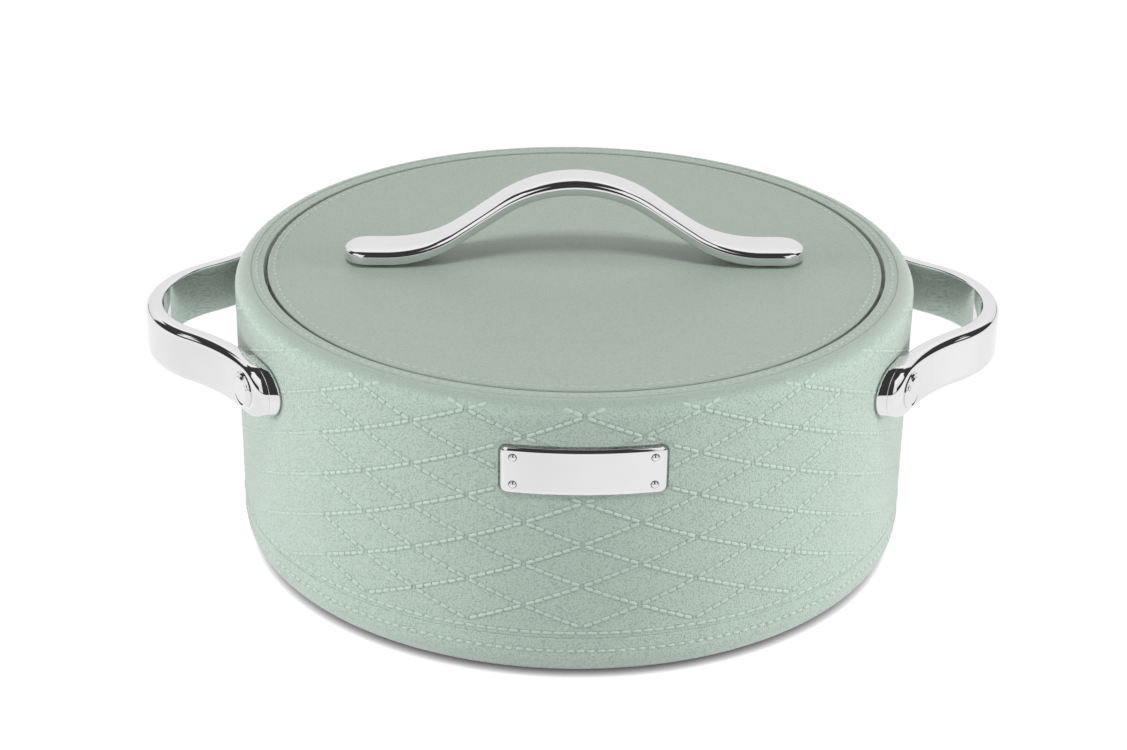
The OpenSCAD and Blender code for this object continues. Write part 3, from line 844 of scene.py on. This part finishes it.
# Lid: a flat disc moulded in sage plastic with a finer, softer grain, a skirt below and one ring of stitches.
# It drops into the well with an even gap all round, and foam fills it.
lid_low, lid_high = in_mm("lid_shell")
lid_r = lid_high.x
lid_wall = 2.6
lid_edge_r = 0.8
lid_cell = 0.8
lid_relief = 0.06
lid_z = lid_high.z - rim_rise
lid_under = lid_high.z - lid_wall
# The lid takes the painted top tone: a greyer, darker copy of the sage, for how light falls on tops.
lid_grain = finished("lid plastic", lambda place: {
    **moulded(place, painted_top_sage, lid_cell, lid_relief), "Sheen Weight": 0.15})
lid_top = shown("lid_top", spun([
    (0, lid_z, 0),
    (lid_r, lid_z, lid_edge_r),
    (lid_r, lid_low.z, 0.4),
    (lid_r - lid_wall, lid_low.z, 0.4),
    (lid_r - lid_wall, lid_under, 0.8),
    (0, lid_under, 0),
]), lid_grain)
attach(lid_top, "lid")
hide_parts("lid_shell")

lid_stitch_in = 3.2
lid_dash = stitch_dash(2.9, ring_stitch_w, rim_rise)
lid_ring = ring_of(lid_dash, lid_r - lid_stitch_in, lid_z, ring_pitch)
lid_stitches = shown("lid_stitches", lid_ring, top_stitch_plastic)
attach(lid_stitches, "lid")

coat("lid_insulation", foam)

# Lid liner: a shallow pan pressed from stainless sheet that closes the lid from below.
# It has a flange all round, and the seal is clipped under that flange.
liner_low, liner_high = in_mm("lid_liner")
liner_t = 0.7
pan_r = 125.6
pan_slope = math.radians(8)
flange_z = liner_high.z - liner_t
pan_floor_r = pan_r - (flange_z - liner_low.z) * math.tan(pan_slope)
lid_pan = shown("lid_pan", spun([
    (0, liner_low.z, 0),
    (pan_floor_r, liner_low.z, 2.6),
    (pan_r, flange_z, 0.6),
    (liner_high.x, flange_z, 0.2),
    (liner_high.x, liner_high.z, 0.2),
    (pan_r - liner_t, liner_high.z, 1.2),
    (pan_floor_r - liner_t, liner_low.z + liner_t, 1.9),
    (0, liner_low.z + liner_t, 0),
]), stainless)
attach(lid_pan, "lid")
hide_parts("lid_liner")

# Seal: a soft pale ring of silicone under the liner's flange, with a narrower lip that meets the bowl's rim.
# It stops the steam and takes up the lid's weight.
seal_low, seal_high = in_mm("lid_seal")
seal_w = 4
seal_lip = 0.5
seal_in_r = seal_high.x - seal_w


def rubbery(place):
    """Soft pale silicone with a trace of dust."""
    dust = place.noise(3, 4)
    return {
        "Base Color": dust.tint((0.58, 0.59, 0.57), (0.70, 0.71, 0.69)),
        "Roughness": 0.5 + 0.2 * dust,
        "Normal": place.bump(dust * 0.03),
    }


lid_gasket = shown("lid_gasket", spun([
    (seal_in_r, seal_high.z, 0.2),
    (seal_in_r, seal_low.z + seal_lip, 0.2),
    (seal_in_r + seal_lip, seal_low.z + seal_lip, 0.2),
    (seal_in_r + seal_lip, seal_low.z, 0.25),
    (seal_high.x - seal_lip, seal_low.z, 0.25),
    (seal_high.x - seal_lip, seal_low.z + seal_lip, 0.2),
    (seal_high.x, seal_low.z + seal_lip, 0.2),
    (seal_high.x, seal_high.z, 0.2),
]), finished("pale silicone", rubbery))
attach(lid_gasket, "lid")
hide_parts("lid_seal")

# Lid handle: an arched bar moulded in plastic and plated bright, with broad flat ends that stand on the lid.
# It is a flat strap with well rounded edges, narrower on the arch, and a screw from below holds each end.
bar_low, bar_high = in_mm("lid_handle")
bar_tip_x = 101
bar_end_w = 23.4
bar_end_t = 7.2
bar_t = 9.8
bar_slope = math.radians(35)
crest_r = 58
sweep_r = 53
bar_nose = bar_end_w / 2
bar_z = bar_low.z + bar_end_t / 2
bar_rise = bar_high.z - bar_t / 2 - bar_z
straight_len = (bar_rise - (crest_r + sweep_r) * (1 - math.cos(bar_slope))) / math.sin(bar_slope)
sweep_x = (crest_r + sweep_r) * math.sin(bar_slope) + straight_len * math.cos(bar_slope)
flat_len = bar_tip_x - bar_nose - sweep_x
bar_runs = (crest_r * bar_slope, straight_len, sweep_r * bar_slope, flat_len, bar_nose * math.pi / 2)


def bar_spine(run):
    """X, height and slope of the bar's middle line at a run from the top of the arch, towards the right."""
    crest, straight, sweep, flat, nose = bar_runs
    if run < crest:
        a = run / crest_r
        return crest_r * math.sin(a), bar_z + bar_rise - crest_r * (1 - math.cos(a)), a
    run -= crest
    if run < straight:
        x = crest_r * math.sin(bar_slope) + run * math.cos(bar_slope)
        fall = crest_r * (1 - math.cos(bar_slope)) + run * math.sin(bar_slope)
        return x, bar_z + bar_rise - fall, bar_slope
    run -= straight
    if run < sweep:
        a = bar_slope - run / sweep_r
        return sweep_x - sweep_r * math.sin(a), bar_z + sweep_r * (1 - math.cos(a)), a
    run -= sweep
    if run < flat:
        return sweep_x + run, bar_z, 0
    b = min(1, (run - flat) / nose) * math.pi / 2
    return bar_tip_x - bar_nose * (1 - math.sin(b)), bar_z, 0


# The arch's top, underside and widest line are shares of half its thickness, measured from the middle line.
# The powers shape its section and its ends: 1 in the section and 2 at the ends would give ellipses.
arch_w = 19
arch_top = 0.59
arch_under = 0.91
arch_widest = -0.4
top_power = 0.5
under_power = 0.64
edge_power = 0.5
nose_power = 2.4
nose_top_fall = 0.4
nose_under_rise = 0.25
mesh = bmesh.new()
bmesh.ops.create_grid(mesh, x_segments=300, y_segments=72, size=1)
for point in mesh.verts:
    x, z, slope = bar_spine(abs(point.co.x) * sum(bar_runs))
    thin = min(1, x / sweep_x)
    widening = max(0, 2 * thin - 1)
    opened = widening * widening * (3 - 2 * widening)
    past = max(0, x - bar_tip_x + bar_nose) / bar_nose
    wide = blend(arch_w, bar_end_w, opened) / 2 * max(0, 1 - past ** nose_power) ** (1 / nose_power)
    thick = blend(bar_t, bar_end_t, thin) / 2
    widest = blend(arch_widest, 0, opened) * thick
    top = blend(arch_top, 1, opened) * thick * (1 - nose_top_fall * past ** 4)
    under = blend(arch_under, 1, opened) * thick * (1 - nose_under_rise * past ** 4)
    around = (point.co.y + 1) * math.pi
    across = math.cos(around)
    upward = math.sin(around)
    if upward > 0:
        height = widest + (top - widest) * upward ** top_power
    else:
        height = widest - (under + widest) * (-upward) ** under_power
    way = 1 if point.co.x > 0 else -1
    point.co = (
        way * (x + height * math.sin(slope)),
        wide * math.copysign(abs(across) ** edge_power, across),
        z + height * math.cos(slope))
lid_bar = shown("lid_bar", mesh, chrome)
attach(lid_bar, "lid")
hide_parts("lid_handle")

coat("lid_handle_screws", turned_steel)

# Studio: white paper under the pot that keeps its contact shadow, a soft lamp above and one at each side.
# The plating mirrors a dark room in front and overhead, a white wall behind and white boxes at the sides.
white = (1, 1, 1, 1)
paper_half = 4
paper_drop = 0.0001
mesh = bmesh.new()
bmesh.ops.create_grid(mesh, x_segments=1, y_segments=1, size=paper_half)
bmesh.ops.translate(mesh, verts=mesh.verts, vec=(0, 0, -paper_drop))
floor_data = mesh_data("floor", mesh)
floor = bpy.data.objects.new("floor", floor_data)
bpy.context.scene.collection.objects.link(floor)
paper = bpy.data.materials.new("white paper")
paper.use_nodes = True
tree = paper.node_tree
tree.nodes.remove(tree.nodes["Principled BSDF"])
start = Wire(tree)
glossy_ray, camera_ray, clear_ray = [
    start.node("LightPath", {}, {}, f"Is {kind} Ray") for kind in ("Glossy", "Camera", "Transmission")]
seen = glossy_ray.math("MAXIMUM", camera_ray).math("MAXIMUM", clear_ray)
shadow = start.node("AmbientOcclusion", {"samples": 8}, {"Distance": 0.004}, "AO")
# The plating mirrors the paper a little dimmer, in broad soft patches.
patches = start.node("TexCoord", {}, {}, "Object").noise(260, 1)
mirrored_fall = 0.22 - 0.3 * patches
bright = start.node("Emission", {}, {
    "Color": white, "Strength": shadow - 0.02 - glossy_ray * mirrored_fall})
matt = start.node("BsdfDiffuse", {}, {"Color": (0.8, 0.8, 0.8, 1)})
dim = start.node("BsdfDiffuse", {}, {"Color": (0.05, 0.05, 0.05, 1)})
lit = start.node("AddShader", {}, {0: bright, 1: dim})
surface = start.node("MixShader", {}, {0: seen, 1: matt, 2: lit})
tree.links.new(surface.socket, tree.nodes["Material Output"].inputs["Surface"])
floor_data.materials.append(paper)

world = bpy.data.worlds.new("studio")
world.use_nodes = True
bpy.context.scene.world = world
tree = world.node_tree
start = Wire(tree)
look = start.node("TexCoord", {}, {}, "Generated")
x, y, z = [start.node("SeparateXYZ", {}, {"Vector": look}, name) for name in "XYZ"]
heading = x.math("ARCTAN2", y * -1) * (180 / math.pi)
turn = heading.math("ABSOLUTE")
rise = z.math("ARCSINE") * (180 / math.pi)


def white_box(turn_mid, turn_half, rise_mid, rise_half, edge):
    """Soft-edged box on both sides of the front, in degrees of turn and rise: 1 inside it and 0 outside."""
    beside = (turn - turn_mid).math("ABSOLUTE").between(turn_half, turn_half - edge)
    return beside * (rise - rise_mid).math("ABSOLUTE").between(rise_half, rise_half - edge)


high_wall = heading.between(124, 128).math("MAXIMUM", heading.between(-142, -148)) * rise.between(53, 48)
low_wall = turn.between(122, 126) * rise.between(36, 33)
horizon = turn.between(152, 146) * rise.between(6, 4)
room = (1 - high_wall.math("MAXIMUM", low_wall)).math("MAXIMUM", horizon) * rise.between(1, 2)
front_boxes = white_box(36, 13, 16, 13, 2)
side_boxes = white_box(56, 32, 38, 24, 3).math("MAXIMUM", white_box(84, 12, 48, 14, 3))
glow = 0.9 + 0.13 * rise.between(18, 40) * rise.between(85, 60)
room_dark = 0.955
mirrored = glow * (1 - room_dark * room * (1 - front_boxes) * (1 - side_boxes))
ambient = 0.36
glossy_ray, camera_ray = [start.node("LightPath", {}, {}, f"Is {kind} Ray") for kind in ("Glossy", "Camera")]
level = ((1 - glossy_ray) * ambient + glossy_ray * mirrored).math("MAXIMUM", camera_ray)
tree.links.new(level.socket, tree.nodes["Background"].inputs["Strength"])
tree.nodes["Background"].inputs["Color"].default_value = white


def softbox(name, place, aim, size, watts):
    """Square lamp that shines from a place towards a point, in metres."""
    lamp = bpy.data.lights.new(name, "AREA")
    lamp.size = size
    lamp.energy = watts
    box = bpy.data.objects.new(name, lamp)
    box.location = place
    box.rotation_euler = (Vector(aim) - Vector(place)).to_track_quat("-Z", "Y").to_euler()
    box.visible_glossy = False
    bpy.context.scene.collection.objects.link(box)


softbox("key light", (0, -0.66, 1.3), (0, 0, 0.1), 0.28, 10)
softbox("left light", (-1.3, -0.15, 0.3), (0, 0, 0.06), 0.5, 11.3)
softbox("right light", (1.3, -0.15, 0.3), (0, 0, 0.06), 0.5, 12.1)

# Camera: where the photograph was taken from, a little above the pot and in front of it.
# Its frame is taken as 1127 by 750 pixels.
photo_w = 1127
focal_px = 2661
camera_far = 1177.2
camera_rise = math.radians(25.07)
camera_roll = math.radians(0.78)
camera_turn = math.radians(-1.7)
aim_right = -4.21
aim_up = -51.46
back = Vector((0, -math.cos(camera_rise), math.sin(camera_rise)))
right = Vector((1, 0, 0))
up = Vector((0, math.sin(camera_rise), math.cos(camera_rise)))
middle = right * aim_right + up * aim_up + Vector((0, 0, shell_high.z))
held_right = math.cos(camera_roll) * right + math.sin(camera_roll) * up
held_up = -math.sin(camera_roll) * right + math.cos(camera_roll) * up
standing = Matrix((held_right, held_up, back)).transposed().to_4x4()
camera_data = bpy.data.cameras.new("camera")
camera_data.sensor_width = 36
camera_data.lens = focal_px * camera_data.sensor_width / photo_w
camera = bpy.data.objects.new("camera", camera_data)
bpy.context.scene.collection.objects.link(camera)
camera.matrix_world = (
    Matrix.Rotation(camera_turn, 4, "Z") @ Matrix.Translation((middle + back * camera_far) * mm) @ standing)
bpy.context.scene.camera = camera
bpy.context.scene.view_settings.view_transform = "Standard"
